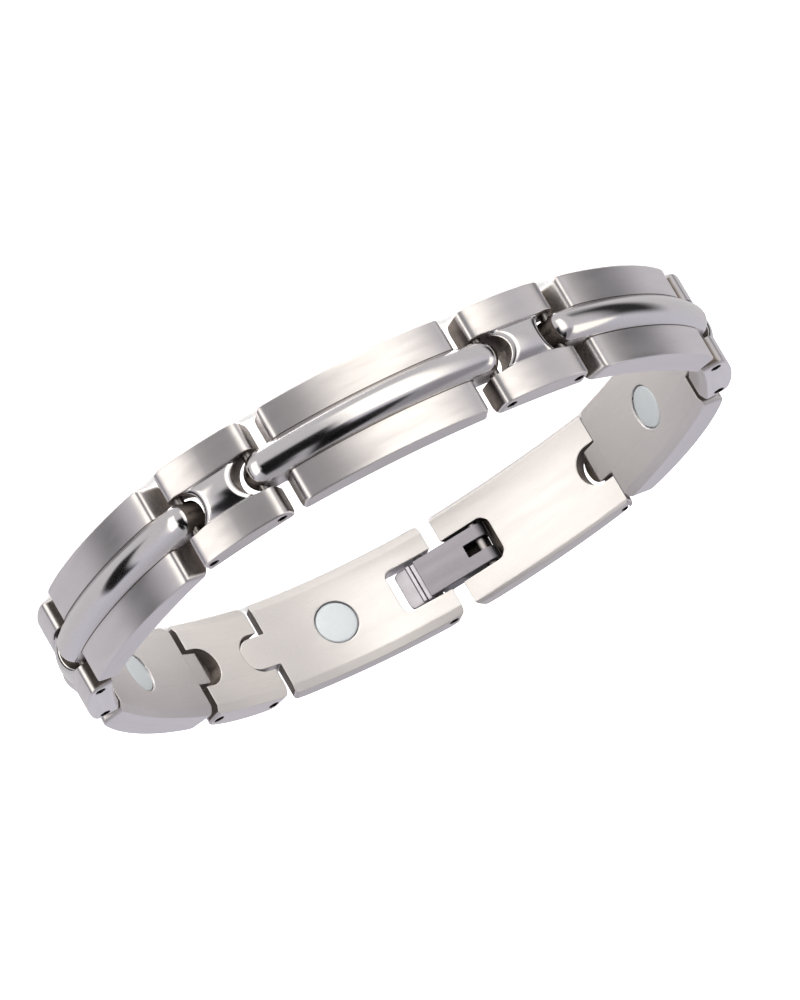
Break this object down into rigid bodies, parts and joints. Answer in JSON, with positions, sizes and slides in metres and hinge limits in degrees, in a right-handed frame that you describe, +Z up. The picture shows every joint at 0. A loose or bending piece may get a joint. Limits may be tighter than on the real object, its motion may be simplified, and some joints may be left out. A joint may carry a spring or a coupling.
{
  "type": "stainless steel bracelet",
  "caption": "Closed stainless steel link bracelet with brushed links, polished half-round bars, inset magnets and a lever clasp.",
  "frame": {"origin": "middle of the standing bracelet's box, at the height of the edge it stands on", "axes": "+X along the loop's longer way, +Y towards the clasp, +Z up across the band's width"},
  "size_m": [0.0748, 0.0714, 0.0108],
  "materials": {
    "link_steel": "brushed along the band, polished bars and saddles",
    "clasp_steel": "satin",
    "pin_steel": "polished",
    "magnet": "plated, satin"
  },
  "bodies": {
    "band": {"end_link_catch": "link_steel", "end_link_hinge": "link_steel", "short_link_1": "link_steel", "short_link_2": "link_steel", "short_link_3": "link_steel", "short_link_4": "link_steel", "short_link_5": "link_steel", "long_link_1": "link_steel", "long_link_2": "link_steel", "long_link_3": "link_steel", "long_link_4": "link_steel", "long_link_5": "link_steel", "magnet_1": "magnet", "magnet_2": "magnet", "magnet_3": "magnet", "magnet_4": "magnet", "magnet_5": "magnet", "magnet_6": "magnet", "link_pin_1": "pin_steel", "link_pin_2": "pin_steel", "link_pin_3": "pin_steel", "link_pin_4": "pin_steel", "link_pin_5": "pin_steel", "link_pin_6": "pin_steel", "link_pin_7": "pin_steel", "link_pin_8": "pin_steel", "link_pin_9": "pin_steel", "link_pin_10": "pin_steel", "link_pin_11": "pin_steel", "catch_pin": "pin_steel", "hinge_pin": "pin_steel"},
    "clasp": {"clasp_lever": "clasp_steel"}
  },
  "joints": [
    {"name": "clasp_hinge", "type": "hinge", "parent": "band", "child": "clasp", "pos_m": [-0.00624, 0.03335, 0.0054], "axis": [0, 0, -1], "range_deg": [0, 100]}
  ]
}
